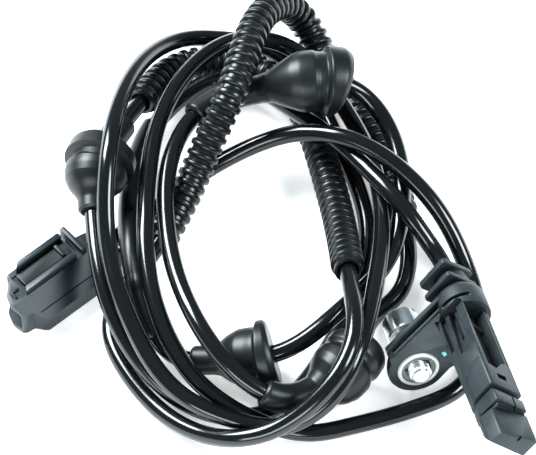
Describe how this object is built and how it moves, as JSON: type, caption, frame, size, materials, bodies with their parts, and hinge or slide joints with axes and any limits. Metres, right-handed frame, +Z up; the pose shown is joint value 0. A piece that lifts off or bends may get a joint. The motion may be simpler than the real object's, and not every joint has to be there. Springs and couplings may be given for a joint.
{
  "type": "wheel speed sensor",
  "caption": "Wheel speed sensor with a mounting lug and captive screw, on a long looped cable with rubber grommets, corrugated conduits and a plug connector",
  "frame": {"origin": "on the floor under the middle of the sensor head", "axes": "+Z up, the head's body runs nearly along Y with its tip towards -Y, the harness lies to its -X side"},
  "size_m": [0.1422, 0.1592, 0.0353],
  "materials": {
    "cable": "smooth black jacket",
    "conduit": "satin black corrugated tube",
    "grommet": "dull moulded rubber",
    "sleeve": "smooth rubber",
    "nylon": "fine-grained glass-filled nylon",
    "carrier": "dark moulded plastic",
    "bushing": "pale satin metal",
    "retainer": "grey plastic",
    "screw": "bright zinc plate",
    "connector": "dark grey moulded plastic",
    "latch": "dark moulded plastic",
    "pin": "tinned",
    "core_a": "blue insulation",
    "core_b": "brown insulation",
    "seal": "soft silicone"
  },
  "bodies": {
    "root": {"sensor_housing": "nylon", "chip_carrier": "carrier", "lug_bushing": "bushing", "screw_retainer": "retainer", "mounting_screw": "screw", "cable": "cable", "grommet_1": "grommet", "grommet_2": "grommet", "grommet_3": "grommet", "grommet_4": "grommet", "rubber_sleeve": "sleeve", "conduit_loop": "conduit", "conduit_hairpin": "conduit", "connector_housing": "connector", "connector_latch": "latch", "connector_rear_cap": "connector", "wire_seal": "seal", "terminal_1": "pin", "terminal_2": "pin", "core_1": "core_a", "core_2": "core_b"}
  },
  "joints": []
}
